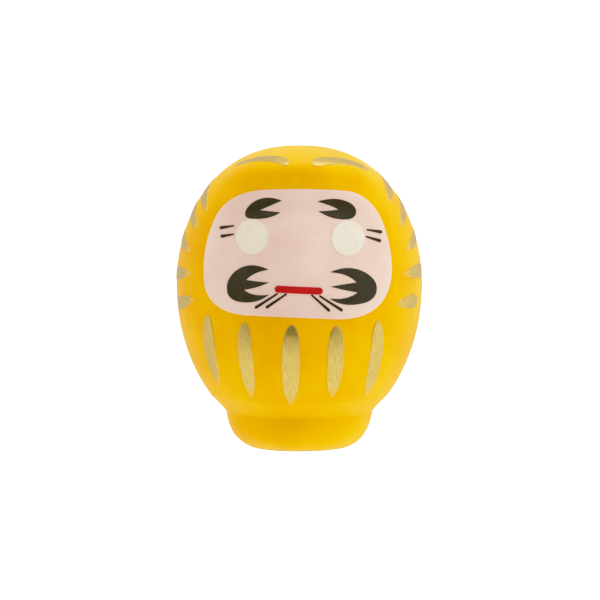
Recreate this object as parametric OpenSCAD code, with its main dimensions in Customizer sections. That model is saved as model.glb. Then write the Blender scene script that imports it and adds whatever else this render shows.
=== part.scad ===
// Daruma: a hollow papier-mache wishing doll on a clay foot, lacquered and painted by hand.
// Millimetres, +Z up. The face looks along -Y, and the origin is on the table, under the middle of
// the doll. Left and right are as somebody who faces the doll sees them: left is -X.

/* [Body] */
// Radius of the belly at its widest
belly_r = 24.35; // [23.5:0.05:25]
// Height of the widest level above the table
belly_z = 32.5; // [32:0.1:33]
// Height of the crown above the widest level
crown_h = 27.5; // [27:0.1:28.5]
// Fullness of the crown: 2 is an ellipse, more is fuller
crown_square = 2.34; // [2.2:0.01:2.5]
// Half-height of the ellipse that the lower half of the body follows
lower_h = 31.55; // [31.3:0.05:31.9]

/* [Foot] */
// Radius of the crease between body and foot
waist_r = 14.55; // [14.3:0.05:14.8]
// Height of the crease above the table
waist_z = 7.3; // [7:0.1:7.6]
// Radius at which the line of the foot's side would meet the table
foot_r = 13.45; // [13:0.05:13.9]
// Radius of the flat disc that the doll stands on
flat_r = 7.1; // [6:0.1:8]
// Radius of the plug that goes up into the shell
plug_r = 11; // [9:0.5:11]
// Height of the plug above the crease
plug_h = 6; // [3:0.5:8]

/* [Face relief] */
// How far the hood's roll stands proud over the face
hood_roll = 3.9; // [3:0.1:4.2]
// How deep the face is let in under the hood
face_depth = 2.9; // [2:0.1:3.2]
// How deep the face is let in at the chin
chin_depth = 0.7; // [0.3:0.1:1.2]
// How far the belly stands proud under the face
belly_out = 0.7; // [0.3:0.1:1]
// Height of the nose
nose_h = 1; // [0.5:0.1:1.5]

/* [Layers] */
// Wall of the paper shell
wall = 1.7; // [1.2:0.1:2]
// Thickness of the gofun ground and lacquer together
coat = 0.3; // [0.25:0.05:0.4]
// Thickness of one painted film
film = 0.12; // [0.08:0.01:0.16]

/* [Paint strokes] */
// Width of the gold strokes on the belly
robe_stroke_w = 3.55; // [2.5:0.05:4]
// Width of the broadest gold strokes on the sides
side_stroke_w = 2.7; // [2:0.1:3]
// Radius of the blank eyes
eye_r = 3.3; // [2.8:0.05:3.4]
// Width of the red mouth line
mouth_w = 1.4; // [1:0.1:1.6]

/* [Hidden] */

yellow = [0.96, 0.74, 0.05];
pulp = [0.62, 0.58, 0.5];
clay = [0.72, 0.6, 0.48];
amber = [0.6, 0.4, 0.15];
flesh = [0.93, 0.82, 0.78];
cream = [0.91, 0.89, 0.82];
ink = [0.21, 0.19, 0.15];
red = [0.84, 0.04, 0.06];
gold = [0.78, 0.69, 0.43];

// ---- The profile: [radius, height] from the crown down ----

crown_z = belly_z + crown_h;
head_rows = 20;
lower_rows = 9;
crease_rows = 3;
foot_rows = 5;
// The crease is one curve, from the lower ellipse to the foot
crease_top_z = waist_z + 3.2;
crease_control = [waist_r + 0.2, waist_z + 0.6];
lower_end = asin((belly_z - crease_top_z) / lower_h);
// How far along the foot's curve the lacquer stops and the bare clay begins
lacquer_end = 0.77;

function head_point(angle) = [belly_r * pow(cos(angle), 2 / crown_square), belly_z + crown_h * sin(angle)];

function lower_point(angle) = [belly_r * cos(angle), belly_z - lower_h * sin(angle)];

function curve(from, control, to, t) =
    (1 - t) * (1 - t) * from + 2 * t * (1 - t) * control + t * t * to;

function foot_point(t) = curve([waist_r, waist_z], [foot_r, 0], [flat_r, 0], t);

PROFILE = concat(
    [for (i = [0 : head_rows]) i == 0 ? [0, crown_z] : head_point(90 * (1 - i / head_rows))],
    [for (i = [1 : lower_rows]) lower_point(lower_end * i / lower_rows)],
    [for (i = [1 : crease_rows])
        curve(lower_point(lower_end), crease_control, [waist_r, waist_z], i / crease_rows)],
    [for (i = [1 : foot_rows]) foot_point(lacquer_end * i / foot_rows)]
);
waist_row = head_rows + lower_rows + crease_rows;
last_row = len(PROFILE) - 1;

// Outward directions, square to the profile; level at the crease, so that every layer meets there
function outward(i) =
    i == 0 ? [0, 1] :
    i == waist_row ? [1, 0] :
    let (step = PROFILE[min(i + 1, last_row)] - PROFILE[i - 1])
    [-step[1], step[0]] / norm(step);
NORMALS = [for (i = [0 : last_row]) outward(i)];

// ---- The relief: how far the surface stands forward of the plain round body ----

face_z = 36.2;
face_up = 16.5;
face_down = 12.5;
face_half_w = 19.5;
// The hood's roll crests outside the face's rim, and this is how far up and down it spreads
crest = 1.25;
crest_spread = 0.225;
// The chin, and how much higher the face is let in the most
chin_z = 26;
chin_to_hood = 24;
// Distance from the middle over which the let-in face flattens out
cheek_half_w = 18.4;
// The foot of the nose, the top of its bridge, and its half width
nose_z = 32;
bridge_z = 38.5;
nose_half_w = 4.5;
// Where the belly stands proud the most, and how far up and down it does so
proud_z = 25;
proud_spread = 11;

function ease(t) = let (c = max(0, min(1, t))) c * c * (3 - 2 * c);
function bump(t) = exp(-t * t);

function relief(x, z) =
    let (
        across = abs(x) / face_half_w,
        along = (z - face_z) / (z > face_z ? face_up : face_down),
        // 0 in the middle of the face, 1 at its rim
        rim = pow(pow(across, 3) + pow(abs(along), 3), 1 / 3) + 0.0001,
        hood = hood_roll * pow(max(0, along / rim), 8) * bump((rim - crest) / crest_spread),
        deeper = ease((z - chin_z) / chin_to_hood),
        depth = chin_depth + (face_depth - chin_depth) * deeper,
        sides = max(0.2, 1 - 0.6 * pow(x / cheek_half_w, 2)),
        recess = depth * sides * ease((1 - rim) / (0.45 - 0.15 * deeper)),
        bridge = ease((z - nose_z) / 6) * (1 - 0.85 * max(0, min(1, (z - bridge_z) / 12)))
    )
    hood - recess + nose_h * bump(x / nose_half_w) * bridge
    + belly_out * bump((z - proud_z) / proud_spread);

// ---- Layers of the skin ----

// Columns round the body in degrees from the front, close together on the painted side
COLUMNS = concat([for (a = [-96 : 6 : 96]) a], [for (a = [108 : 12 : 252]) a]);
turn = len(COLUMNS);

// A point of the skin at a profile row and a column, moved outward by off
function spot(i, j, off) =
    let (
        a = COLUMNS[(j + turn) % turn],
        here = PROFILE[i],
        out = here + off * NORMALS[i],
        forward = here[0] * cos(a),
        push = forward > 0 ? relief(here[0] * sin(a), here[1]) * ease(forward / 10) : 0
    )
    [out[0] * sin(a), -out[0] * cos(a) - push, out[1]];

// Closed layer over the whole body, from the crown down to row last
module skin(last, inner, outer) {
    layer = 1 + last * turn;
    function at(side, i, j) = side * layer + (i == 0 ? 0 : 1 + (i - 1) * turn + j % turn);
    function points(off) = concat(
        [[0, 0, crown_z + off]],
        [for (i = [1 : last], j = [0 : turn - 1]) spot(i, j, off)]
    );
    wheel = [0 : turn - 1];
    polyhedron(
        points = concat(points(outer), points(inner)),
        faces = concat(
            [for (j = wheel) [at(0, 0, 0), at(0, 1, j + 1), at(0, 1, j)]],
            [for (j = wheel) [at(1, 0, 0), at(1, 1, j), at(1, 1, j + 1)]],
            [for (i = [1 : last - 1], j = wheel) each [
                [at(0, i, j), at(0, i, j + 1), at(0, i + 1, j + 1)],
                [at(0, i, j), at(0, i + 1, j + 1), at(0, i + 1, j)],
                [at(1, i, j), at(1, i + 1, j + 1), at(1, i, j + 1)],
                [at(1, i, j), at(1, i + 1, j), at(1, i + 1, j + 1)]
            ]],
            [for (j = wheel) each [
                [at(0, last, j), at(0, last, j + 1), at(1, last, j + 1)],
                [at(0, last, j), at(1, last, j + 1), at(1, last, j)]
            ]]
        )
    );
}

// First row below height z, and the column at or before an angle
function row_below(z) = len([for (p = PROFILE) if (p[1] > z) p]);
function column_before(a) = floor((a + 96) / 6);

// Closed patch of film between two heights and two angles, wide enough to cut a mark from
module patch(z, angles, inner, outer) {
    i0 = max(1, row_below(z[1]) - 2);
    i1 = row_below(z[0]) + 1;
    j0 = column_before(angles[0]) - 1;
    j1 = column_before(angles[1]) + 2;
    wide = j1 - j0 + 1;
    layer = (i1 - i0 + 1) * wide;
    function at(side, i, j) = side * layer + (i - i0) * wide + j - j0;
    function points(off) = [for (i = [i0 : i1], j = [j0 : j1]) spot(i, j, off)];
    polyhedron(
        points = concat(points(outer), points(inner)),
        faces = concat(
            [for (i = [i0 : i1 - 1], j = [j0 : j1 - 1]) each [
                [at(0, i, j), at(0, i, j + 1), at(0, i + 1, j + 1)],
                [at(0, i, j), at(0, i + 1, j + 1), at(0, i + 1, j)],
                [at(1, i, j), at(1, i + 1, j + 1), at(1, i, j + 1)],
                [at(1, i, j), at(1, i + 1, j), at(1, i + 1, j + 1)]
            ]],
            [for (j = [j0 : j1 - 1]) each [
                [at(0, i0, j + 1), at(0, i0, j), at(1, i0, j)],
                [at(0, i0, j + 1), at(1, i0, j), at(1, i0, j + 1)],
                [at(0, i1, j), at(0, i1, j + 1), at(1, i1, j + 1)],
                [at(0, i1, j), at(1, i1, j + 1), at(1, i1, j)]
            ]],
            [for (i = [i0 : i1 - 1]) each [
                [at(0, i, j0), at(0, i + 1, j0), at(1, i + 1, j0)],
                [at(0, i, j0), at(1, i + 1, j0), at(1, i, j0)],
                [at(0, i + 1, j1), at(0, i, j1), at(1, i, j1)],
                [at(0, i + 1, j1), at(1, i, j1), at(1, i + 1, j1)]
            ]]
        )
    );
}

// ---- Outlines ----

// Closed outline of quadratic curves: corner, control, corner, control, and so on
function curves(list, steps = 6) =
    let (n = len(list))
    [for (i = [0 : 2 : n - 2], s = [0 : steps - 1])
        curve(list[i], list[i + 1], list[(i + 2) % n], s / steps)];

// Smooth closed outline inside the polygon of these points, which touches the middle of each side
function smooth(list, steps) =
    let (n = len(list))
    curves([for (i = [0 : n - 1]) each [(list[(i + n - 1) % n] + list[i]) / 2, list[i]]], steps);

function direction(v) = v / norm(v);
function left_of(v) = [-v[1], v[0]];

// Outline round a straight line, with its half widths at even steps from one end to the other
function round_line(from, to, half_w) =
    let (side = left_of(direction(to - from)), n = len(half_w) - 1)
    concat(
        [for (s = [0 : n]) from + (to - from) * s / n + side * half_w[s]],
        [for (s = [n - 1 : -1 : 1]) from + (to - from) * s / n - side * half_w[s]]
    );

// Half widths of a stroke with a round top that tapers to a point
function leaf(w, n = 16) =
    [for (s = [0 : n]) let (t = s / n) w / 1.98 * pow(1 - pow(1 - t, 8), 0.68) * (1 - pow(t, 6.5))];
// Half widths of a stroke that swells from its tail and ends broad and round
function petal(w, n = 12) =
    [for (s = [0 : n]) let (t = s / n) w / 1.9 * pow(1 - pow(1 - t, 3), 0.8) * sqrt(1 - pow(t, 8))];

// Straight brush line with a half-round at each end
module brush_line(from, to, w0, w1) {
    along = direction(to - from);
    side = left_of(along);
    bearing = atan2(along[1], along[0]);
    polygon(concat(
        [for (a = [90 : 30 : 270]) from + w0 / 2 * [cos(bearing + a), sin(bearing + a)]],
        [for (a = [-90 : 30 : 90]) to + w1 / 2 * [cos(bearing + a), sin(bearing + a)]]
    ));
}

module oval(centre, rx, ry) {
    polygon([for (a = [0 : 12 : 348]) centre + [rx * cos(a), ry * sin(a)]]);
}

// Face panel: a squarish oval whose sides lean in towards the top
FACE = [
    [-14, 51.4], [-18.9, 40], [-17.75, 27.95], [-0.9, 27.55],
    [13.8, 26.7], [19, 35.1], [14.7, 50.9], [2.4, 52]
];
BROW_LEFT = [
    [-3.3, 49.6], [-6.9, 51], [-9.4, 48.8], [-10.7, 47.5], [-10.3, 46.5], [-10, 46],
    [-8.6, 46], [-5.6, 45.9], [-3.5, 47.3], [-5.4, 47.4], [-7.5, 47.7], [-5.6, 48.5]
];
BROW_RIGHT = [
    [3.4, 49.4], [7.2, 50.6], [9.9, 49], [11.1, 48.1], [10.9, 47.1], [10.6, 45.9],
    [8.9, 45.9], [6.2, 45.8], [3.6, 47.5], [5.6, 47.5], [7.5, 47.8], [5.9, 48.7]
];
BEARD_LEFT = [
    [-5.8, 36.5], [-9.6, 38.3], [-12.3, 36], [-13.9, 34.5], [-13.8, 32.9], [-13.9, 31],
    [-11.9, 30.4], [-8.3, 29.7], [-5.7, 31.8], [-8.8, 31.3], [-10.5, 32.6], [-8, 33],
    [-5.7, 34.1], [-7.8, 34.2], [-10.1, 34.5], [-8.7, 36]
];
BEARD_RIGHT = [
    [5.8, 36], [9.4, 37.6], [12.5, 35.9], [14.8, 34.6], [14.8, 32.8], [14.8, 30.6],
    [12.1, 30], [8.3, 29.2], [5.7, 31.1], [9, 30.6], [11.1, 32.1], [8.4, 32.6], [5.9, 33.3],
    [8.2, 33.7], [10.9, 34], [9.2, 35.8]
];
// Seen from above, as [across, towards the back]
HOOD_LEFT = [
    [-2.1, -17.2], [-1.6, -15.8], [-2.9, -14.4], [-5.6, -11.6], [-11.8, -7.5], [-12.9, -7.5],
    [-12.2, -8.7], [-8.6, -12.7], [-4.4, -15.9], [-3, -17.6]
];
HOOD_RIGHT = [
    [2.5, -17], [2, -15.4], [3.6, -14.2], [7, -11.9], [12.6, -7.4], [14, -7.2],
    [13.4, -8.6], [10, -13.2], [5.2, -16.1], [3.4, -17.6]
];

// ---- Films cut to an outline ----

// Film under an outline drawn in the front view, turned to face an angle round the body
module front_film(angle, z, angles, level) {
    intersection() {
        patch(z, angles, level * film, (level + 1) * film);
        rotate([90, 0, angle]) linear_extrude(40) children();
    }
}

// Film under an outline drawn in the view from above
module top_film(z, angles) {
    intersection() {
        patch(z, angles, 0, film);
        translate([0, 0, z[0]]) linear_extrude(20) children();
    }
}

// ---- Gold strokes ----

// Belly strokes: [angle round the body, top height, bottom height, sideways lean, share of the width]
ROBE = [
    [-49, 27.6, 13.3, -1.35, 0.93], [-27.2, 26.6, 11.3, -0.85, 0.88], [-4.2, 26.2, 9.8, -0.4, 1],
    [18.1, 26, 11.4, 0.6, 0.93], [41.2, 26.6, 11.2, 1.35, 0.93]
];

module robe_stroke(number) {
    stroke = ROBE[number - 1];
    angle = stroke[0];
    top = stroke[1];
    low = stroke[2];
    lean = stroke[3];
    color(gold) front_film(angle, [low, top], [angle - 8, angle + 8], 0)
        polygon(round_line([-lean, top], [lean, low], leaf(stroke[4] * robe_stroke_w)));
}

// Side strokes: [angle of the tail, its height, angle of the broad end, its height, share of the width]
SIDE_LEFT = [
    [-57, 47.3, -93, 53.3, 0.85], [-61, 43.9, -93, 48.9, 0.85], [-62, 39.4, -93, 43, 0.89],
    [-58, 35.3, -92, 34.8, 1], [-55, 30.4, -80, 28.8, 1]
];
SIDE_RIGHT = [
    [57, 49, 93, 54.6, 0.89], [60, 44.3, 93, 50.2, 0.89], [60, 39.8, 93, 43.4, 0.89],
    [55, 35.2, 84, 35.7, 1], [49, 29.6, 70.5, 29.9, 1]
];

// Radius of the plain body at a height
function body_r(z) = lookup(z, [for (i = [last_row : -1 : 0]) [PROFILE[i][1], PROFILE[i][0]]]);

module side_stroke(ends) {
    middle = (ends[0] + ends[2]) / 2;
    tail = [body_r(ends[1]) * sin(ends[0] - middle), ends[1]];
    broad = [body_r(ends[3]) * sin(ends[2] - middle), ends[3]];
    low = min(ends[1], ends[3]) - side_stroke_w / 2;
    high = max(ends[1], ends[3]) + side_stroke_w / 2;
    reach = [min(ends[0], ends[2]) - 4, max(ends[0], ends[2]) + 4];
    color(gold) front_film(middle, [low, high], reach, 0)
        polygon(round_line(tail, broad, petal(ends[4] * side_stroke_w)));
}

// ---- Sub-parts ----

// Clearance that keeps the round foot clear of the flat-sided lacquer round it
foot_gap = 0.09;

// Hollow papier-mache body, open at the crease
module paper_shell() {
    color(pulp) skin(waist_row, -coat - wall, -coat);
}

// Gofun and yellow lacquer over shell and foot, down to the edge of the underside
module colour_coat() {
    color(yellow) skin(last_row, -coat, 0);
}

// Clay weight: flat underside, tapered foot, and a plug inside the shell
module clay_foot() {
    under = [for (s = [0 : 4]) foot_point(1 - (1 - lacquer_end) * s / 4)];
    side = [for (i = [last_row : -1 : waist_row]) PROFILE[i] - (coat + foot_gap) * NORMALS[i]];
    plug_top = waist_z + plug_h;
    color(clay) rotate_extrude($fn = 96) polygon(concat(
        [[0, 0]], under, side,
        [[plug_r, waist_z], [plug_r, plug_top - 2], [plug_r - 2, plug_top], [0, plug_top]]
    ));
}

// Bead of glue in the corner between plug and shell
module glue_ring() {
    bead_r = waist_r - coat - wall - 0.1;
    color(amber) rotate_extrude($fn = 96) polygon([
        [plug_r, waist_z], [bead_r, waist_z], [bead_r, waist_z + 0.9], [plug_r, waist_z + 1.8]
    ]);
}

module face_paint() {
    color(flesh) front_film(0, [27, 53], [-56, 54], 0) polygon(smooth(FACE, 8));
}

module eye_white_left() {
    color(cream) front_film(0, [39, 47], [-42, -14], 1) oval([-9, 42.55], eye_r, eye_r * 1.05);
}

module eye_white_right() {
    color(cream) front_film(0, [39, 47], [14, 42], 1) oval([9.25, 42.35], eye_r, eye_r * 1.05);
}

module brow_left() {
    color(ink) front_film(0, [45.5, 50.5], [-40, -8], 1) polygon(curves(BROW_LEFT));
}

module brow_right() {
    color(ink) front_film(0, [45.5, 50.5], [8, 40], 1) polygon(curves(BROW_RIGHT));
}

module beard_left() {
    color(ink) front_film(0, [30, 37.5], [-42, -12], 1) polygon(curves(BEARD_LEFT));
}

module beard_right() {
    color(ink) front_film(0, [29, 37.5], [12, 44], 1) polygon(curves(BEARD_RIGHT));
}

module mouth() {
    color(red) front_film(0, [32, 34], [-14, 14], 1)
        brush_line([-4, 32.85], [3.8, 32.5], mouth_w, mouth_w);
}

module temple_lines_left() {
    color(ink) front_film(0, [42, 46], [-48, -34], 1) {
        brush_line([-15, 44.25], [-12.6, 44.65], 0.62, 0.28);
        brush_line([-14.8, 42.65], [-12.6, 43.05], 0.62, 0.28);
    }
}

module temple_lines_right() {
    color(ink) front_film(0, [42, 45], [34, 50], 1) {
        brush_line([15.6, 43.45], [13, 43.9], 0.62, 0.28);
        brush_line([15.4, 41.8], [12.8, 42.6], 0.62, 0.28);
    }
}

module whiskers_left() {
    color(ink) front_film(0, [29, 33], [-26, -4], 1) {
        brush_line([-4.2, 31.95], [-8.2, 29.35], 0.34, 0.56);
        brush_line([-2.5, 31.9], [-6.1, 29.45], 0.34, 0.56);
    }
}

module whiskers_right() {
    color(ink) front_film(0, [28, 33], [4, 26], 1) {
        brush_line([2.4, 31.7], [5.6, 28.85], 0.34, 0.56);
        brush_line([3.9, 31.55], [8, 28.85], 0.34, 0.56);
    }
}

module hood_stroke_left() {
    color(gold) top_film([54, 59.5], [-72, 0]) polygon(curves(HOOD_LEFT));
}

module hood_stroke_right() {
    color(gold) top_film([54, 59.5], [0, 72]) polygon(curves(HOOD_RIGHT));
}

paper_shell();
clay_foot();
glue_ring();
colour_coat();
face_paint();
eye_white_left();
eye_white_right();
brow_left();
brow_right();
beard_left();
beard_right();
mouth();
temple_lines_left();
temple_lines_right();
whiskers_left();
whiskers_right();
robe_stroke(1);  // robe_stroke_1
robe_stroke(2);  // robe_stroke_2
robe_stroke(3);  // robe_stroke_3
robe_stroke(4);  // robe_stroke_4
robe_stroke(5);  // robe_stroke_5
side_stroke(SIDE_LEFT[0]);  // side_stroke_left_1
side_stroke(SIDE_LEFT[1]);  // side_stroke_left_2
side_stroke(SIDE_LEFT[2]);  // side_stroke_left_3
side_stroke(SIDE_LEFT[3]);  // side_stroke_left_4
side_stroke(SIDE_LEFT[4]);  // side_stroke_left_5
side_stroke(SIDE_RIGHT[0]);  // side_stroke_right_1
side_stroke(SIDE_RIGHT[1]);  // side_stroke_right_2
side_stroke(SIDE_RIGHT[2]);  // side_stroke_right_3
side_stroke(SIDE_RIGHT[3]);  // side_stroke_right_4
side_stroke(SIDE_RIGHT[4]);  // side_stroke_right_5
hood_stroke_left();
hood_stroke_right();
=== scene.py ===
import math

import bpy
import numpy as np
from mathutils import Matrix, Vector, geometry


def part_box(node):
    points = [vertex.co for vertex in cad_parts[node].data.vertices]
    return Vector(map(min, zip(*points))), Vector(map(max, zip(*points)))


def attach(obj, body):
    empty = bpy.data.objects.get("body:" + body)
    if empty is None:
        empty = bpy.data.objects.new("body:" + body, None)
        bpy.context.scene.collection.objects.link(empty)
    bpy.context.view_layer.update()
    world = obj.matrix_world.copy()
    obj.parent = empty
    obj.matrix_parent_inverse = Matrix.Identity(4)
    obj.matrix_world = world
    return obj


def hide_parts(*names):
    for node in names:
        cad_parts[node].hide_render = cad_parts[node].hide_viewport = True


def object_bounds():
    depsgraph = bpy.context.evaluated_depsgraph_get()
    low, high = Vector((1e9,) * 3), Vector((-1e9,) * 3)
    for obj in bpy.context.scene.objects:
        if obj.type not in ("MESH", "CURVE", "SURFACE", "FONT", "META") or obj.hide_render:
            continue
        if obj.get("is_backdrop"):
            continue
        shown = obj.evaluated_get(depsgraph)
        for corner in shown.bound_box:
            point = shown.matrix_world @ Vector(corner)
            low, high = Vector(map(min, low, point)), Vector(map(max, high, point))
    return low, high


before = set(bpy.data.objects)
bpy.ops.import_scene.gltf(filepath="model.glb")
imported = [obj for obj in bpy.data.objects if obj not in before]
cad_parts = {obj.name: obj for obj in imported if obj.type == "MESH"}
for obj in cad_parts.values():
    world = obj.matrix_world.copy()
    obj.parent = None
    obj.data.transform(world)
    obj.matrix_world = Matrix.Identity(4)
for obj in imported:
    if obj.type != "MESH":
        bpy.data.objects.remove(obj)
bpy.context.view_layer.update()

# Shapes are worked out in millimetres, in the CAD model's frame, and turned into metres in new_piece().
MM = 0.001


# ---- Profile of the body ----

COAT_HIGH = np.array(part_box("colour_coat")[1]) / MM
BELLY_R = COAT_HIGH[0]
CROWN_Z = COAT_HIGH[2]
BELLY_Z = 32.5
# Fullness of the crown: 2 is an ellipse, more is fuller
HEAD_SQUARE = 2.34
# Half-height of the ellipse that the lower half of the body follows
LOWER_H = 31.55
# The crease between body and foot is one curve, from the belly's ellipse to the foot,
# and the foot is another, from there to the flat that the doll stands on
CREASE_TOP_Z = 10.5
CREASE_CONTROL = (14.75, 7.9)
CREASE_END = (14.55, 7.3)
FOOT_CONTROL = (13.45, 0.0)
FLAT_R = 7.1
# How far along the foot's curve the lacquer stops and the bare clay begins
LACQUER_END = 0.77
COAT_THICKNESS = 0.3
FILM = 0.12
# How far a film's underside and the foot of its edge are sunk into the coat
FILM_SUNK = 0.05
EDGE_SUNK = 0.01


def curve(start, control, end, t):
    """Radii and heights along a quadratic curve."""
    return tuple(
        (1 - t) ** 2 * start[k] + 2 * t * (1 - t) * control[k] + t * t * end[k] for k in (0, 1)
    )


def profile(head, lower, crease, foot):
    """Radii and heights down the plain round body, with that many rows in each stretch."""
    t = np.radians(np.linspace(90, 0, head, endpoint=False))
    rows = [(BELLY_R * np.cos(t) ** (2 / HEAD_SQUARE), BELLY_Z + (CROWN_Z - BELLY_Z) * np.sin(t))]
    end = math.asin((BELLY_Z - CREASE_TOP_Z) / LOWER_H)
    t = np.linspace(0, end, lower, endpoint=False)
    rows.append((BELLY_R * np.cos(t), BELLY_Z - LOWER_H * np.sin(t)))
    start = (BELLY_R * math.cos(end), CREASE_TOP_Z)
    rows.append(curve(start, CREASE_CONTROL, CREASE_END, np.linspace(0, 1, crease, endpoint=False)))
    rows.append(curve(CREASE_END, FOOT_CONTROL, (FLAT_R, 0), np.linspace(0, LACQUER_END, foot)))
    return np.concatenate([r for r, z in rows]), np.concatenate([z for r, z in rows])


FINE_R, FINE_Z = profile(900, 500, 120, 120)


def body_radius(z):
    return np.interp(z, FINE_Z[::-1], FINE_R[::-1])


# ---- Relief: how far the skin stands forward of the plain round body ----

FACE_Z = 36.2
FACE_UP, FACE_DOWN, FACE_HALF_W = 16.5, 12.5, 19.5
# The hood's roll: its height, where it crests outside the face's rim, and how far it spreads
HOOD_ROLL, CREST, CREST_SPREAD = 3.9, 1.25, 0.225
FACE_DEPTH, CHIN_DEPTH = 2.9, 0.7
# The chin, and how much higher the face is let in the most
CHIN_Z, CHIN_TO_HOOD = 26, 24
# Distance from the middle over which the let-in face flattens out
CHEEK_HALF_W = 18.4
# The nose: its height off the face, its foot, the top of its bridge, and its half width
NOSE_H, NOSE_Z, BRIDGE_Z, NOSE_HALF_W = 1.0, 32, 38.5, 4.5
# The belly under the face: how far it stands proud, at what height, and how far up and down
BELLY_OUT, PROUD_Z, PROUD_SPREAD = 0.7, 25, 11
# How far into the body, from the side, the relief reaches its full height
SIDE_FADE = 10


def ease(t):
    t = np.clip(t, 0, 1)
    return t * t * (3 - 2 * t)


def bump(t):
    return np.exp(-t * t)


def relief(x, z):
    """Hood, let-in face, nose and belly, at a distance x across and a height z."""
    across = np.abs(x) / FACE_HALF_W
    along = (z - FACE_Z) / np.where(z > FACE_Z, FACE_UP, FACE_DOWN)
    # 0 in the middle of the face, 1 at its rim
    rim = (across ** 3 + np.abs(along) ** 3) ** (1 / 3) + 1e-4
    hood = HOOD_ROLL * np.maximum(0, along / rim) ** 8 * bump((rim - CREST) / CREST_SPREAD)
    deeper = ease((z - CHIN_Z) / CHIN_TO_HOOD)
    depth = CHIN_DEPTH + (FACE_DEPTH - CHIN_DEPTH) * deeper
    sides = np.maximum(0.2, 1 - 0.6 * (x / CHEEK_HALF_W) ** 2)
    recess = depth * sides * ease((1 - rim) / (0.45 - 0.15 * deeper))
    bridge = ease((z - NOSE_Z) / 6) * (1 - 0.85 * np.clip((z - BRIDGE_Z) / 12, 0, 1))
    nose = NOSE_H * bump(x / NOSE_HALF_W) * bridge
    return hood - recess + nose + BELLY_OUT * bump((z - PROUD_Z) / PROUD_SPREAD)


# How far the paper's unevenness takes the skin in or out
WAVER = 0.02


def waver(a, z):
    """Slow unevenness of hand-laid paper: two sets of shallow waves that cross at odd angles."""
    x, y = 10 * np.sin(a), 10 * np.cos(a)
    slow = np.sin(0.31 * x + 0.23 * z + 1.3) * np.sin(0.37 * y - 0.19 * z)
    return WAVER * (slow + 0.6 * np.sin(0.71 * x - 0.11 * y + 0.53 * z + 0.7))


def skin(a, z, radius=None):
    """Points of the skin at angles a round the body from the front, and heights z."""
    radius = body_radius(z) if radius is None else radius
    # The waves die out towards the crown, where all the angles meet
    radius = radius + waver(a, z) * np.clip(radius / 8, 0, 1)
    forward = radius * np.cos(a)
    push = relief(radius * np.sin(a), z) * ease(forward / SIDE_FADE)
    return np.stack([radius * np.sin(a), -forward - push, z * np.ones_like(a)], axis=-1)


def unit(v):
    return v / np.maximum(np.linalg.norm(v, axis=-1, keepdims=True), 1e-12)


def outward(a, z, step=0.02):
    """Directions out of the skin at angles a and heights z."""
    across = skin(a + step / 20, z) - skin(a - step / 20, z)
    upward = skin(a, z + step) - skin(a, z - step)
    return unit(np.cross(across, upward))


# ---- Making pieces ----

def new_piece(name, points, faces, replaces):
    """Smooth piece on the body "root", standing in for the CAD node that it hides."""
    mesh = bpy.data.meshes.new(name)
    mesh.from_pydata((np.asarray(points) * MM).tolist(), [], faces)
    mesh.validate()
    mesh.shade_smooth()
    piece = bpy.data.objects.new(name, mesh)
    bpy.context.scene.collection.objects.link(piece)
    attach(piece, "root")
    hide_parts(replaces)
    return piece


def store(piece, name, values):
    """Keeps a number for each vertex, for the materials to read."""
    layer = piece.data.attributes.new(name, "FLOAT", "POINT")
    layer.data.foreach_set("value", np.asarray(values, np.float32))


# ---- The lacquered coat ----

# The lacquer's edge under the foot: how far it runs in, how far it hangs, and how high up that starts
RUN, HANG, RUN_START_Z = 0.22, 0.08, 3


def make_coat():
    """Gofun and lacquer over the whole body: an outer and an inner skin, joined under the foot."""
    turn = 220
    radius, height = profile(head=76, lower=50, crease=16, foot=24)
    radius, height = radius[1:], height[1:]
    a = np.linspace(0, 2 * math.pi, turn, endpoint=False)
    aa, rr = np.meshgrid(a, radius)
    zz = np.meshgrid(a, height)[1]
    outer = skin(aa, zz, rr)
    rows = len(radius)
    # The lacquer ends in an uneven edge that hangs down a little
    low = ease(1 - zz / RUN_START_Z)
    run = RUN * (1 + np.sin(3 * aa + 0.4) * np.sin(5 * aa + 1.9) + 0.5 * np.sin(11 * aa))
    outer[..., 0] -= np.sin(aa) * low * run
    outer[..., 1] += np.cos(aa) * low * run
    outer[..., 2] -= low * HANG
    # Directions out of the skin, from the grid itself
    down = np.gradient(outer, axis=0)
    across = np.roll(outer, -1, axis=1) - np.roll(outer, 1, axis=1)
    normal = unit(np.cross(down, across))
    normal *= np.sign(np.sum(normal[rows // 2] * outer[rows // 2], axis=-1).mean())
    inner = outer - COAT_THICKNESS * normal
    crown = skin(np.array([0.0]), np.array([CROWN_Z]), np.array([0.0]))
    inner_crown = crown - [0, 0, COAT_THICKNESS]
    points = np.concatenate([crown, outer.reshape(-1, 3), inner_crown, inner.reshape(-1, 3)])
    layer = 1 + rows * turn

    def at(side, i, j):
        return side * layer + 1 + i * turn + j % turn

    faces = []
    last = rows - 1
    for j in range(turn):
        faces.append((0, at(0, 0, j), at(0, 0, j + 1)))
        faces.append((layer, at(1, 0, j + 1), at(1, 0, j)))
        faces.append((at(0, last, j + 1), at(0, last, j), at(1, last, j), at(1, last, j + 1)))
        for i in range(last):
            faces.append((at(0, i, j), at(0, i + 1, j), at(0, i + 1, j + 1), at(0, i, j + 1)))
            faces.append((at(1, i, j), at(1, i, j + 1), at(1, i + 1, j + 1), at(1, i + 1, j)))
    return new_piece("lacquer_coat", points, faces, "colour_coat")


# ---- Painted films ----

BISECTIONS = 40


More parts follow.
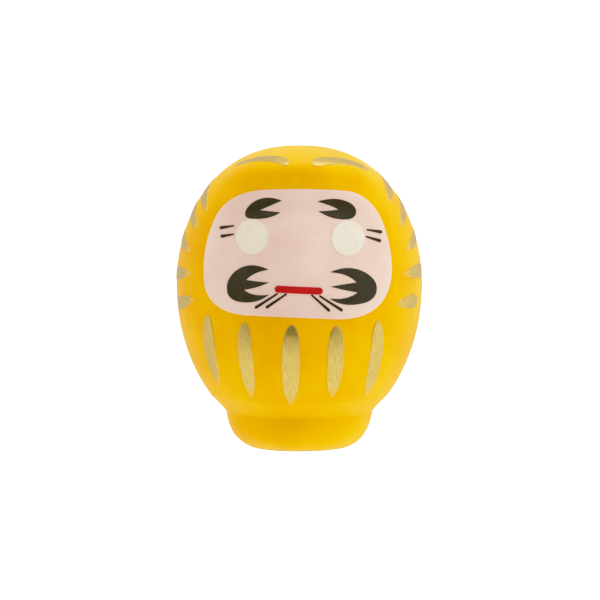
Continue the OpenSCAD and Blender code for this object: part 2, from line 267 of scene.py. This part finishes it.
def front(angle_deg=0.0):
    """Place for an outline seen from the front, or from that angle round the body: u across, v up."""
    middle = math.radians(angle_deg)

    def place(u, v):
        low = np.full(len(u), middle - math.pi / 2)
        high = np.full(len(u), middle + math.pi / 2)
        for _ in range(BISECTIONS):
            a = (low + high) / 2
            p = skin(a, v)
            short = p[:, 0] * math.cos(middle) + p[:, 1] * math.sin(middle) < u
            low, high = np.where(short, a, low), np.where(short, high, a)
        return (low + high) / 2, v

    return place


# Heights between which the hood's strokes lie
HOOD_LOW_Z, HOOD_HIGH_Z = 54.5, CROWN_Z - 0.01


def from_above(u, v):
    """Place for an outline seen from above: u across, v towards the back."""
    low, high = np.full(len(u), HOOD_LOW_Z), np.full(len(u), HOOD_HIGH_Z)
    for _ in range(BISECTIONS):
        z = (low + high) / 2
        radius = body_radius(z)
        a = np.arcsin(np.clip(u / radius, -1, 1))
        short = (skin(a, z)[:, 1] < v) & (radius > np.abs(u))
        low, high = np.where(short, z, low), np.where(short, high, z)
    z = (low + high) / 2
    return np.arcsin(np.clip(u / body_radius(z), -1, 1)), z


def even_outline(points, step):
    """The closed outline with points a step apart, its corners kept."""
    out = []
    for a, b in zip(points, np.roll(points, -1, axis=0)):
        n = max(1, int(round(np.linalg.norm(b - a) / step)))
        out += [a + (b - a) * k / n for k in range(n)]
    return np.array(out)


def distance_inside(points, outline):
    """Distance of each point from the outline, negative outside it."""
    a, b = outline, np.roll(outline, -1, axis=0)
    best = np.full(len(points), 1e9)
    inside = np.zeros(len(points), bool)
    for p0, p1 in zip(a, b):
        d = p1 - p0
        t = np.clip(((points - p0) @ d) / max(d @ d, 1e-12), 0, 1)
        best = np.minimum(best, np.linalg.norm(points - p0 - t[:, None] * d, axis=1))
        crosses = (p0[1] > points[:, 1]) != (p1[1] > points[:, 1])
        with np.errstate(divide="ignore", invalid="ignore"):
            x = p0[0] + (points[:, 1] - p0[1]) * d[0] / d[1]
        inside ^= crosses & (points[:, 0] < x)
    return np.where(inside, best, -best)


def fill(outline, spacing, edge):
    """Flat triangles inside an outline, finer along its edge: points, triangles, distance from the edge."""
    forward = unit(np.roll(outline, -1, axis=0) - np.roll(outline, 1, axis=0))
    inward = np.stack([-forward[:, 1], forward[:, 0]], axis=1)
    following = np.roll(outline, -1, axis=0)
    area = np.sum(outline[:, 0] * following[:, 1] - outline[:, 1] * following[:, 0])
    inward *= np.sign(area)
    loose = []
    for depth in (0.25 * edge, 0.6 * edge, 1.05 * edge):
        ring = outline + inward * depth
        loose.append(ring[distance_inside(ring, outline) > 0.93 * depth])
    low, high = outline.min(0), outline.max(0)
    rows = np.arange(low[1], high[1], spacing * 0.866)
    grid = np.array([
        (x + (k % 2) * spacing / 2, y)
        for k, y in enumerate(rows) for x in np.arange(low[0], high[0], spacing)
    ])
    loose.append(grid[distance_inside(grid, outline) > 1.05 * edge + 0.6 * spacing])
    points = np.concatenate([outline] + loose)
    order = list(range(len(outline)))
    if area < 0:
        order.reverse()
    flat, _, triangles, _, _, _ = geometry.delaunay_2d_cdt(
        [Vector(p) for p in points], [], [order], 1, 1e-5)
    flat = np.array([tuple(p) for p in flat])
    return flat, [tuple(t) for t in triangles], np.maximum(0, distance_inside(flat, outline))


def make_film(name, outlines, place, slot, lift=0.0, spacing=0.35, edge=0.2, step=0.16, thick=FILM):
    """Paint film over the skin, with a rounded edge, that replaces the CAD node of the same name."""
    points, faces, edges, flats = [], [], [], []
    for outline in outlines:
        flat, triangles, depth = fill(even_outline(np.array(outline, float), step), spacing, edge)
        a, z = place(flat[:, 0], flat[:, 1])
        on_skin, up = skin(a, z), outward(a, z)
        rounded = np.sqrt(1 - (1 - np.clip(depth / edge, 0, 1)) ** 2)
        top = on_skin + up * (lift - EDGE_SUNK + (thick + EDGE_SUNK) * rounded)[:, None]
        below = on_skin + up * (lift - FILM_SUNK)
        base = sum(len(p) for p in points)
        n = len(flat)
        points += [top, below]
        edges += [depth, depth]
        flats += [flat, flat]
        # An edge that only one triangle has is on the outline, and gets a wall down to the underside
        used = {}
        for t in triangles:
            faces.append(tuple(base + k for k in t))
            faces.append(tuple(base + n + k for k in reversed(t)))
            for p, q in zip(t, t[1:] + t[:1]):
                used[(p, q)] = True
        for p, q in used:
            if (q, p) not in used:
                faces.append((base + q, base + p, base + n + p, base + n + q))
    piece = new_piece(name + "_film", np.concatenate(points), faces, name)
    store(piece, "edge_mm", np.concatenate(edges))
    flats = np.concatenate(flats)
    store(piece, "u_mm", flats[:, 0])
    store(piece, "v_mm", flats[:, 1])
    return piece


# ---- Outlines, the same as the CAD model's ----

def curves(corners, steps=20):
    """Closed outline of quadratic curves: corner, control, corner, control, and so on."""
    p = np.array(corners, float)
    out = []
    for i in range(0, len(p), 2):
        for s in range(steps):
            t = s / steps
            out.append((1 - t) ** 2 * p[i] + 2 * t * (1 - t) * p[i + 1] + t * t * p[(i + 2) % len(p)])
    return np.array(out)


def smooth(points):
    """Smooth closed outline inside the polygon of these points, which touches the middle of each side."""
    p = np.array(points, float)
    return curves([corner for i in range(len(p)) for corner in ((p[i - 1] + p[i]) / 2, p[i])])


def round_line(start, end, half_widths):
    """Outline round a straight line, with its half widths at even steps from one end to the other."""
    start, end = np.array(start, float), np.array(end, float)
    along = unit(end - start)
    side = np.array([-along[1], along[0]])
    n = len(half_widths) - 1
    left = [start + (end - start) * s / n + side * half_widths[s] for s in range(n + 1)]
    right = [start + (end - start) * s / n - side * half_widths[s] for s in range(n - 1, 0, -1)]
    return np.array(left + right)


def leaf(width, n=60):
    """Half widths of a stroke with a round top that tapers to a point."""
    t = np.linspace(0, 1, n + 1)
    return width / 1.98 * (1 - (1 - t) ** 8) ** 0.68 * (1 - t ** 6.5)


def petal(width, n=60):
    """Half widths of a stroke that swells from its tail and ends broad and round."""
    t = np.linspace(0, 1, n + 1)
    return width / 1.9 * (1 - (1 - t) ** 3) ** 0.8 * np.sqrt(1 - t ** 8)


def brush_line(start, end, w0, w1):
    """Straight line with round ends, as wide as w0 at its start and w1 at its end."""
    start, end = np.array(start, float), np.array(end, float)
    bearing = math.atan2(*(end - start)[::-1])
    arc = np.radians(np.arange(90, 271, 15))

    def cap(centre, width, angles):
        return [
            centre + width / 2 * np.array([math.cos(bearing + a), math.sin(bearing + a)]) for a in angles
        ]

    return np.array(cap(start, w0, arc) + cap(end, w1, arc - math.pi))


def oval(centre, rx, ry):
    a = np.radians(np.arange(0, 360, 4))
    return np.stack([centre[0] + rx * np.cos(a), centre[1] + ry * np.sin(a)], axis=1)


# Face panel: a squarish oval whose sides lean in towards the top
FACE = [
    (-14, 51.4), (-18.9, 40), (-17.75, 27.95), (-0.9, 27.55),
    (13.8, 26.7), (19, 35.1), (14.7, 50.9), (2.4, 52),
]
BROW_LEFT = [
    (-3.3, 49.6), (-6.9, 51), (-9.4, 48.8), (-10.7, 47.5), (-10.3, 46.5), (-10, 46),
    (-8.6, 46), (-5.6, 45.9), (-3.5, 47.3), (-5.4, 47.4), (-7.5, 47.7), (-5.6, 48.5),
]
BROW_RIGHT = [
    (3.4, 49.4), (7.2, 50.6), (9.9, 49), (11.1, 48.1), (10.9, 47.1), (10.6, 45.9),
    (8.9, 45.9), (6.2, 45.8), (3.6, 47.5), (5.6, 47.5), (7.5, 47.8), (5.9, 48.7),
]
BEARD_LEFT = [
    (-5.8, 36.5), (-9.6, 38.3), (-12.3, 36), (-13.9, 34.5), (-13.8, 32.9), (-13.9, 31),
    (-11.9, 30.4), (-8.3, 29.7), (-5.7, 31.8), (-8.8, 31.3), (-10.5, 32.6), (-8, 33),
    (-5.7, 34.1), (-7.8, 34.2), (-10.1, 34.5), (-8.7, 36),
]
BEARD_RIGHT = [
    (5.8, 36), (9.4, 37.6), (12.5, 35.9), (14.8, 34.6), (14.8, 32.8), (14.8, 30.6),
    (12.1, 30), (8.3, 29.2), (5.7, 31.1), (9, 30.6), (11.1, 32.1), (8.4, 32.6), (5.9, 33.3),
    (8.2, 33.7), (10.9, 34), (9.2, 35.8),
]
# Seen from above, as (across, towards the back)
HOOD_LEFT = [
    (-2.1, -17.2), (-1.6, -15.8), (-2.9, -14.4), (-5.6, -11.6), (-11.8, -7.5), (-12.9, -7.5),
    (-12.2, -8.7), (-8.6, -12.7), (-4.4, -15.9), (-3, -17.6),
]
HOOD_RIGHT = [
    (2.5, -17), (2, -15.4), (3.6, -14.2), (7, -11.9), (12.6, -7.4), (14, -7.2),
    (13.4, -8.6), (10, -13.2), (5.2, -16.1), (3.4, -17.6),
]
# Angle round the body, top, lower end, lean and width of each stroke on the robe
ROBE = [
    (-49, 27.6, 13.3, -1.35, 3.3),
    (-27.2, 26.6, 11.3, -0.85, 3.12),
    (-4.2, 26.2, 9.8, -0.4, 3.55),
    (18.1, 26, 11.4, 0.6, 3.3),
    (41.2, 26.6, 11.2, 1.35, 3.3),
]
# Angle and height of the tail and of the broad end, and the width, of each stroke at the sides
SIDES = {
    "left": [
        (-57, 47.3, -93, 53.3, 2.3),
        (-61, 43.9, -93, 48.9, 2.3),
        (-62, 39.4, -93, 43, 2.4),
        (-58, 35.3, -92, 34.8, 2.7),
        (-55, 30.4, -80, 28.8, 2.7),
    ],
    "right": [
        (57, 49, 93, 54.6, 2.4),
        (60, 44.3, 93, 50.2, 2.4),
        (60, 39.8, 93, 43.4, 2.4),
        (55, 35.2, 84, 35.7, 2.7),
        (49, 29.6, 70.5, 29.9, 2.7),
    ],
}


def ragged(outline, size, seed):
    """The outline with the small unevenness of a brush's edge."""
    random = np.random.default_rng(seed)
    n = len(outline)
    t = np.arange(n) / n * 2 * math.pi
    wave = sum(
        random.normal() * np.sin(k * t + random.uniform(0, 6.3)) / math.sqrt(k) for k in range(5, 26, 2)
    )
    forward = unit(np.roll(outline, -1, axis=0) - np.roll(outline, 1, axis=0))
    side = np.stack([-forward[:, 1], forward[:, 0]], axis=1)
    return outline + side * (size * wave)[:, None]


# ---- Materials ----

def linear(red, green, blue):
    """Linear colour from 0..255 display values."""
    return tuple(
        (c / 255 / 12.92 if c <= 10 else ((c / 255 + 0.055) / 1.055) ** 2.4) for c in (red, green, blue)
    ) + (1.0,)


class Material:
    """A new node material, with short calls to add nodes to it."""

    def __init__(self, name, **shader):
        self.material = bpy.data.materials.new(name)
        self.material.use_nodes = True
        self.tree = self.material.node_tree
        self.shader = self.tree.nodes["Principled BSDF"]
        self.where = self.node("ShaderNodeTexCoord").outputs["Object"]
        for key, value in shader.items():
            self.shader.inputs[key.replace("_", " ")].default_value = value

    def node(self, kind, settings=None, **inputs):
        made = self.tree.nodes.new(kind)
        for key, value in (settings or {}).items():
            setattr(made, key, value)
        for key, value in inputs.items():
            self.put(made.inputs[key.replace("_", " ")], value)
        return made

    def put(self, socket, value):
        if isinstance(value, bpy.types.NodeSocket):
            self.tree.links.new(value, socket)
        else:
            socket.default_value = value

    def noise(self, scale, detail=3.0, rough=0.5, stretch=None, where=None):
        where = self.where if where is None else where
        if stretch:
            where = self.node("ShaderNodeMapping", Vector=where, Scale=stretch).outputs["Vector"]
        made = self.node("ShaderNodeTexNoise", Vector=where, Scale=scale, Detail=detail, Roughness=rough)
        return made.outputs["Fac"]

    def ramp(self, value, low, high, out_low=0.0, out_high=1.0):
        made = self.node("ShaderNodeMapRange", {"clamp": True}, Value=value)
        limits = {"From Min": low, "From Max": high, "To Min": out_low, "To Max": out_high}
        for name, number in limits.items():
            made.inputs[name].default_value = number
        return made.outputs["Result"]

    def math(self, kind, a, b):
        made = self.node("ShaderNodeMath", {"operation": kind})
        self.put(made.inputs[0], a)
        self.put(made.inputs[1], b)
        return made.outputs["Value"]

    def mix(self, factor, a, b):
        made = self.node("ShaderNodeMix", {"data_type": "RGBA"})
        self.put(made.inputs["Factor"], factor)
        self.put(made.inputs["A"], a)
        self.put(made.inputs["B"], b)
        return made.outputs["Result"]

    def attribute(self, name):
        return self.node("ShaderNodeAttribute", {"attribute_name": name}).outputs["Fac"]

    def bump(self, height, distance, strength=1.0, after=None):
        made = self.node("ShaderNodeBump", Height=height, Distance=distance, Strength=strength)
        if after:
            self.put(made.inputs["Normal"], after)
        return made.outputs["Normal"]

    def finish(self, **inputs):
        for key, value in inputs.items():
            self.put(self.shader.inputs[key.replace("_", " ")], value)
        return self.material


def yellow_lacquer():
    m = Material("yellow_lacquer", IOR=1.16, Specular_Tint=(1, 0.85, 0, 1))
    cloud = m.noise(110, 3, 0.5)
    brushed = m.noise(420, 4, 0.6, (1, 1, 0.16))
    deep, plain, pale = linear(241, 176, 0), linear(246, 186, 0), linear(250, 197, 0)
    colour = m.mix(m.ramp(cloud, 0.35, 0.65), deep, plain)
    colour = m.mix(m.ramp(brushed, 0.5, 0.8, 0, 0.45), colour, pale)
    rough = m.ramp(m.noise(260, 3, 0.6), 0.3, 0.7, 0.3, 0.4)
    grain = m.bump(m.noise(2600, 2, 0.5), 0.000012)
    peel = m.bump(m.noise(520, 3, 0.5), 0.00003, after=grain)
    return m.finish(Base_Color=colour, Roughness=rough, Normal=peel)


def flesh_paint():
    m = Material("flesh_paint", Specular_IOR_Level=0.3)
    cloud = m.noise(90, 3, 0.5)
    brushed = m.noise(500, 4, 0.6, (0.2, 1, 1))
    colour = m.mix(m.ramp(cloud, 0.35, 0.65), linear(240, 206, 190), linear(245, 216, 198))
    colour = m.mix(m.ramp(brushed, 0.45, 0.8, 0, 0.35), colour, linear(249, 225, 208))
    rough = m.ramp(m.noise(700, 3, 0.6), 0.3, 0.7, 0.55, 0.68)
    grain = m.bump(m.noise(3200, 2, 0.6), 0.000012)
    strokes = m.bump(brushed, 0.00002, after=grain)
    return m.finish(Base_Color=colour, Roughness=rough, Normal=strokes)


def eye_paint():
    m = Material("eye_paint", Specular_IOR_Level=0.3)
    brushed = m.noise(900, 4, 0.6, (1, 1, 0.4))
    white = m.mix(m.ramp(brushed, 0.35, 0.75), linear(239, 227, 205), linear(246, 236, 215))
    # The thin edge of the paint lets the flesh colour through
    edge = m.math("ADD", m.attribute("edge_mm"), m.ramp(m.noise(2200, 3, 0.6), 0.3, 0.7, -0.12, 0.12))
    colour = m.mix(m.ramp(edge, 0.02, 0.4), linear(240, 212, 196), white)
    return m.finish(Base_Color=colour, Roughness=m.ramp(brushed, 0.3, 0.7, 0.5, 0.62),
                    Normal=m.bump(brushed, 0.00001))


def ink(name, dark, plain, thin):
    m = Material(name, Specular_IOR_Level=0.4)
    pooled = m.noise(700, 3, 0.55)
    streaks = m.noise(1500, 4, 0.6, (0.3, 1, 1))
    colour = m.mix(m.ramp(pooled, 0.3, 0.7), dark, plain)
    colour = m.mix(m.ramp(streaks, 0.55, 0.8, 0, 0.5), colour, thin)
    return m.finish(Base_Color=colour, Roughness=m.ramp(streaks, 0.3, 0.7, 0.42, 0.56),
                    Normal=m.bump(streaks, 0.00002))


def red_paint():
    m = Material("red_paint", Specular_IOR_Level=0.45, Specular_Tint=(1, 0.3, 0.3, 1))
    streaks = m.noise(1200, 3, 0.6, (0.2, 1, 1))
    colour = m.mix(m.ramp(streaks, 0.3, 0.7), linear(189, 14, 34), linear(209, 24, 44))
    return m.finish(Base_Color=colour, Roughness=m.ramp(streaks, 0.3, 0.7, 0.34, 0.44),
                    Normal=m.bump(streaks, 0.00002))


def gold_paint():
    m = Material("gold_paint")
    # Streaks that follow the stroke, and metal flakes
    across, along = m.attribute("across_mm"), m.attribute("along_mm")
    in_stroke = m.node("ShaderNodeCombineXYZ", X=across, Y=along).outputs["Vector"]
    streaks = m.noise(1.6, 4, 0.6, (3.2, 0.35, 1), in_stroke)
    flakes = m.node("ShaderNodeTexVoronoi", Vector=m.where, Scale=5200).outputs["Color"]
    colour = m.mix(m.ramp(streaks, 0.3, 0.7), linear(216, 178, 80), linear(252, 219, 120))
    colour = m.mix(m.ramp(flakes, 0, 1, 0, 0.25), colour, linear(255, 246, 155))
    # Towards its ends the brush runs dry and the lacquer shows between the hairs
    dry = m.math("SUBTRACT", m.attribute("wet"), m.ramp(streaks, 0.25, 0.75, 0.0, 0.9))
    colour = m.mix(m.ramp(dry, -0.15, 0.12), linear(247, 190, 0), colour)
    metal = m.ramp(dry, -0.15, 0.12, 0, 0.9)
    rough = m.ramp(streaks, 0.25, 0.75, 0.26, 0.36)
    return m.finish(Base_Color=colour, Metallic=metal, Roughness=rough, Normal=m.bump(streaks, 0.000008))


def paper_pulp():
    m = Material("paper_pulp", Roughness=0.95, Specular_IOR_Level=0.2)
    fibres = m.noise(1800, 5, 0.7)
    colour = m.mix(m.ramp(fibres, 0.35, 0.65), linear(140, 132, 116), linear(178, 170, 152))
    return m.finish(Base_Color=colour, Normal=m.bump(fibres, 0.0001))


def bare_clay():
    m = Material("bare_clay", Roughness=0.9, Specular_IOR_Level=0.25)
    cloud = m.noise(160, 4, 0.6)
    specks = m.noise(2600, 2, 0.5)
    colour = m.mix(m.ramp(cloud, 0.35, 0.65), linear(176, 148, 118), linear(202, 178, 146))
    colour = m.mix(m.ramp(specks, 0.62, 0.7, 0, 0.7), colour, linear(130, 104, 80))
    dents = m.bump(m.noise(700, 4, 0.6), 0.00012)
    return m.finish(Base_Color=colour, Normal=m.bump(specks, 0.00004, after=dents))


def hide_glue():
    m = Material("hide_glue", Roughness=0.25, Specular_IOR_Level=0.5)
    colour = m.mix(m.ramp(m.noise(600, 3, 0.5), 0.35, 0.65), linear(120, 76, 22), linear(176, 122, 48))
    return m.finish(Base_Color=colour)


# Brightness at which the camera sees the floor and the surroundings, which comes out as pure white
SEEN_WHITE = 2.0


def floor_white():
    m = Material("floor_white", Roughness=0.6, Specular_IOR_Level=0.3, Emission_Strength=SEEN_WHITE)
    colour = m.mix(m.ramp(m.noise(6, 2, 0.5), 0.3, 0.7), (0.9, 0.9, 0.9, 1), (0.93, 0.93, 0.93, 1))
    # From underneath, the floor is see-through and leaves the foot in view
    underneath = m.node("ShaderNodeNewGeometry").outputs["Backfacing"]
    return m.finish(Base_Color=colour, Emission_Color=colour, Alpha=m.math("SUBTRACT", 1, underneath))


# ---- The doll ----

YELLOW, FLESH, EYE = yellow_lacquer(), flesh_paint(), eye_paint()
BROAD_INK = ink("black_ink", linear(48, 38, 28), linear(62, 52, 38), linear(78, 67, 54))
THIN_INK = ink("brown_ink", linear(40, 17, 14), linear(58, 29, 22), linear(85, 54, 40))
RED, GOLD = red_paint(), gold_paint()


def painted(piece, material):
    piece.data.materials.append(material)
    return piece


def face_mark(name, outlines, slot, material, **finish):
    """Film on top of the face paint, which is one film above the coat."""
    painted(make_film(name, outlines, front(), slot, lift=FILM, **finish), material)


painted(make_coat(), YELLOW)
painted(make_film("face_paint", [smooth(FACE)], front(), "flesh_paint", spacing=0.45), FLESH)

# The eyes are a little higher than they are wide
EYE_R, EYE_TALLER = 3.3, 1.05
for side, centre in (("left", (-9, 42.55)), ("right", (9.25, 42.35))):
    eye = oval(centre, EYE_R, EYE_R * EYE_TALLER)
    face_mark("eye_white_" + side, [eye], "eye_paint", EYE, edge=0.3, spacing=0.25)

BROAD_MARKS = {
    "brow_left": BROW_LEFT,
    "brow_right": BROW_RIGHT,
    "beard_left": BEARD_LEFT,
    "beard_right": BEARD_RIGHT,
}
for name, corners in BROAD_MARKS.items():
    face_mark(name, [curves(corners)], "black_ink", BROAD_INK, edge=0.15, spacing=0.25, step=0.1)

# The red paint is thicker than the rest
MOUTH_W, MOUTH_THICK = 1.4, 0.2
mouth = brush_line((-4, 32.85), (3.8, 32.5), MOUTH_W, MOUTH_W)
face_mark("mouth", [mouth], "red_paint", RED, edge=0.45, spacing=0.2, step=0.1, thick=MOUTH_THICK)

# Thin ink lines: their widths at the start and the end, then the start and the end of each
TEMPLE_WIDTHS, WHISKER_WIDTHS = (0.62, 0.28), (0.34, 0.56)
THIN_LINES = {
    "temple_lines_left": (TEMPLE_WIDTHS, ((-15, 44.25), (-12.6, 44.65)), ((-14.8, 42.65), (-12.6, 43.05))),
    "temple_lines_right": (TEMPLE_WIDTHS, ((15.6, 43.45), (13, 43.9)), ((15.4, 41.8), (12.8, 42.6))),
    "whiskers_left": (WHISKER_WIDTHS, ((-4.2, 31.95), (-8.2, 29.35)), ((-2.5, 31.9), (-6.1, 29.45))),
    "whiskers_right": (WHISKER_WIDTHS, ((2.4, 31.7), (5.6, 28.85)), ((3.9, 31.55), (8, 28.85))),
}
for name, (widths, *lines) in THIN_LINES.items():
    outlines = [brush_line(*line, *widths) for line in lines]
    face_mark(name, outlines, "black_ink", THIN_INK, edge=0.07, spacing=0.12, step=0.07)

# The gold strokes: how uneven their edges are, and how thick they are
RAGGED, GOLD_THICK = 0.028, 0.1
# Shift between the streaks of one stroke and of the next
STREAK_SHIFT = 7
# Share of a stroke's length, at its end, over which the brush runs dry
DRY_RUN = 0.3


def add_stroke(name, outline, place, start, end, seed, dry_start, dry_end, start_run=DRY_RUN):
    """Gold stroke from start to end; dry_start and dry_end say how dry the brush is at each end."""
    piece = painted(make_film(name, [ragged(outline, RAGGED, seed)], place, "gold_paint",
                              edge=0.12, spacing=0.25, step=0.12, thick=GOLD_THICK), GOLD)
    n = len(piece.data.vertices)
    u, v = np.zeros(n, np.float32), np.zeros(n, np.float32)
    piece.data.attributes["u_mm"].data.foreach_get("value", u)
    piece.data.attributes["v_mm"].data.foreach_get("value", v)
    start, end = np.array(start, float), np.array(end, float)
    length = np.linalg.norm(end - start)
    direction = (end - start) / length
    along = (u - start[0]) * direction[0] + (v - start[1]) * direction[1]
    across = (v - start[1]) * direction[0] - (u - start[0]) * direction[1]
    t = along / length
    wet = 1 - dry_start * (1 - ease(t / start_run)) - dry_end * (1 - ease((1 - t) / DRY_RUN))
    store(piece, "along_mm", along + STREAK_SHIFT * seed)
    store(piece, "across_mm", across)
    store(piece, "wet", wet)


for number, (angle, top, low, lean, width) in enumerate(ROBE, 1):
    ends = (-lean, top), (lean, low)
    add_stroke(f"robe_stroke_{number}", round_line(*ends, leaf(width)), front(angle), *ends,
               seed=number, dry_start=0.3, dry_end=0.7)

for side, first_seed in (("left", 10), ("right", 20)):
    for number, (a0, z0, a1, z1, width) in enumerate(SIDES[side], 1):
        middle = (a0 + a1) / 2
        ends = [
            (float(body_radius(z)) * math.sin(math.radians(a - middle)), z) for a, z in ((a0, z0), (a1, z1))
        ]
        add_stroke(f"side_stroke_{side}_{number}", round_line(*ends, petal(width)), front(middle), *ends,
                   seed=first_seed + number, dry_start=0.8, dry_end=0.1, start_run=0.4)

add_stroke("hood_stroke_left", curves(HOOD_LEFT), from_above, (-2, -15.5), (-12.8, -5.8),
           seed=31, dry_start=0, dry_end=0.9)
add_stroke("hood_stroke_right", curves(HOOD_RIGHT), from_above, (2.3, -15), (13.4, -4.6),
           seed=32, dry_start=0, dry_end=0.9)

# These keep the CAD model's own meshes
CAD_PIECES = {"paper_shell": paper_pulp(), "clay_foot": bare_clay(), "glue_ring": hide_glue()}
for node, material in CAD_PIECES.items():
    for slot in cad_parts[node].material_slots:
        slot.material = material


# ---- Stage, lights and camera ----

# Brightness of the surroundings, and how much more or less of it comes from some sides
TENT_LEVEL = 0.71
TABLE_LEVEL, BACK_LEVEL, RIGHT_LEVEL, LEFT_LEVEL = 0.48, 0.48, 0.27, -0.1
# Brightness of the surroundings as they show in gloss, and how much more of it is to the right
GLOSS_FRONT, GLOSS_CORNER, GLOSS_SIDE, GLOSS_BACK, GLOSS_TABLE = 0.12, 0.44, 0.74, 0.58, 0.88
GLOSS_RIGHT = 0.12
# Power of each lamp
TOP_W, REAR_W, RIGHT_W, LEFT_W = 0.4, 0.65, 0.14, 0.35
# The camera: lens and sensor in millimetres, degrees above level, and metres from its target
LENS, SENSOR = 181.7, 36
ELEVATION, DISTANCE = 3.5, 0.6
CAMERA_TARGET = (0.00014, 0, 0.02937)
# What each brightness turns into in the picture. A deep yellow holds less blue than a screen can
# show, so the faintest blue is lost too.
FILM_CURVE = (
    (0.4, 0.4), (0.75, 0.75), (0.9, 0.855), (1.0, 0.9), (1.12, 0.935), (1.25, 0.955), (1.6, 1.02),
)
FILM_END = (SEEN_WHITE, 1.15)
BLUE_CURVE = ((0.014, 0.002), (0.035, 0.024), (0.08, 0.076), (0.2, 0.2))
BLUE_END = (SEEN_WHITE, SEEN_WHITE)


def make_floor(size=6.0, top=-0.00005):
    """A white floor, a hair below the foot's flat face."""
    mesh = bpy.data.meshes.new("floor")
    h = size / 2
    mesh.from_pydata([(-h, -h, top), (h, -h, top), (h, h, top), (-h, h, top)], [], [(0, 1, 2, 3)])
    floor = bpy.data.objects.new("floor", mesh)
    bpy.context.scene.collection.objects.link(floor)
    mesh.materials.append(floor_white())
    # The surroundings light the doll from below too, so the floor is only there to be seen
    floor.visible_diffuse = floor.visible_glossy = floor.visible_shadow = False
    floor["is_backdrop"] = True


def softbox(name, place, target, size, power):
    """Square lamp of a size in metres and a power in watts, aimed at its target."""
    light = bpy.data.lights.new(name, "AREA")
    light.shape, light.size, light.energy = "SQUARE", size, power
    lamp = bpy.data.objects.new(name, light)
    lamp.location = place
    lamp.rotation_euler = (Vector(target) - Vector(place)).to_track_quat("-Z", "Y").to_euler()
    bpy.context.scene.collection.objects.link(lamp)
    return lamp


def light_tent():
    """White surroundings, bright all round but dark in front of the doll where gloss would show them."""
    world = bpy.data.worlds.new("tent")
    world.use_nodes = True
    bpy.context.scene.world = world
    nodes, links = world.node_tree.nodes, world.node_tree.links
    where = nodes.new("ShaderNodeSeparateXYZ")
    links.new(nodes.new("ShaderNodeTexCoord").outputs["Generated"], where.inputs["Vector"])
    ray = nodes.new("ShaderNodeLightPath").outputs

    def towards(axis, start, end, level):
        """From 0 to level as the direction's part along an axis goes from start to end."""
        made = nodes.new("ShaderNodeMapRange")
        made.interpolation_type = "SMOOTHSTEP"
        links.new(where.outputs[axis], made.inputs["Value"])
        for name, value in (("From Min", start), ("From Max", end), ("To Max", level)):
            made.inputs[name].default_value = value
        return made.outputs["Result"]

    def combine(kind, a, b):
        made = nodes.new("ShaderNodeMath")
        made.operation = kind
        for socket, value in zip(made.inputs, (a, b)):
            if isinstance(value, bpy.types.NodeSocket):
                links.new(value, socket)
            else:
                socket.default_value = value
        return made.outputs["Value"]

    def total(*parts):
        light = parts[0]
        for part in parts[1:]:
            light = combine("ADD", light, part)
        return light

    soft = total(towards("X", 0.2, 0.9, RIGHT_LEVEL), towards("X", -0.2, -0.9, LEFT_LEVEL),
                 towards("Z", -0.45, -0.65, TABLE_LEVEL),
                 towards("Y", -0.5, 0.2, BACK_LEVEL), TENT_LEVEL)
    # In gloss the front is dim down to where the white table begins, and dark straight ahead
    gloss = total(towards("Y", -0.93, -0.77, GLOSS_CORNER - GLOSS_FRONT),
                  towards("Y", -0.55, -0.25, GLOSS_SIDE - GLOSS_CORNER),
                  towards("Y", 0, 0.8, GLOSS_BACK - GLOSS_SIDE),
                  towards("X", 0.2, 0.9, GLOSS_RIGHT), GLOSS_FRONT)
    gloss = combine("MAXIMUM", gloss, towards("Z", -0.48, -0.63, GLOSS_TABLE))
    shiny = ray["Is Glossy Ray"]
    light = total(combine("MULTIPLY", soft, combine("SUBTRACT", 1, shiny)),
                  combine("MULTIPLY", gloss, shiny))
    light = combine("MAXIMUM", light, combine("MULTIPLY", ray["Is Camera Ray"], SEEN_WHITE))
    links.new(light, nodes["Background"].inputs["Strength"])
    nodes["Background"].inputs["Color"].default_value = (1, 1, 1, 1)


def make_camera():
    camera = bpy.data.objects.new("camera", bpy.data.cameras.new("camera"))
    camera.data.lens = LENS
    camera.data.sensor_width = SENSOR
    camera.data.clip_start, camera.data.clip_end = 0.01, 20
    elevation = math.radians(ELEVATION)
    back = Vector((0, -math.cos(elevation), math.sin(elevation)))
    camera.location = Vector(CAMERA_TARGET) + back * DISTANCE
    camera.rotation_euler = (-back).to_track_quat("-Z", "Y").to_euler()
    bpy.context.scene.collection.objects.link(camera)
    bpy.context.scene.camera = camera


def set_film():
    """Plain colours, with highlights that roll off softly as a camera's do."""
    view = bpy.context.scene.view_settings
    view.view_transform = "Standard"
    view.use_curve_mapping = True
    film = view.curve_mapping
    film.clip_max_x = film.clip_max_y = SEEN_WHITE
    # The mapping holds red, green, blue, and all three together
    for channel, points, end in ((3, FILM_CURVE, FILM_END), (2, BLUE_CURVE, BLUE_END)):
        film.curves[channel].points[-1].location = end
        for light, shown in points:
            film.curves[channel].points.new(light, shown)
    film.update()


make_floor()
light_tent()
softbox("top", (0.08, -0.02, 0.5), (0, 0, 0.03), 0.45, TOP_W)
# The rear lamp brightens the top of the head and the left one the left edge, with no glare on either
softbox("rear", (0.03, 0.2, 0.42), (0, 0, 0.04), 0.3, REAR_W).visible_glossy = False
softbox("right", (0.45, -0.12, 0.25), (0, 0, 0.03), 0.35, RIGHT_W)
softbox("left", (-0.45, 0.25, 0.06), (0, 0, 0.03), 0.3, LEFT_W).visible_glossy = False
make_camera()
set_film()

low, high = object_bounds()
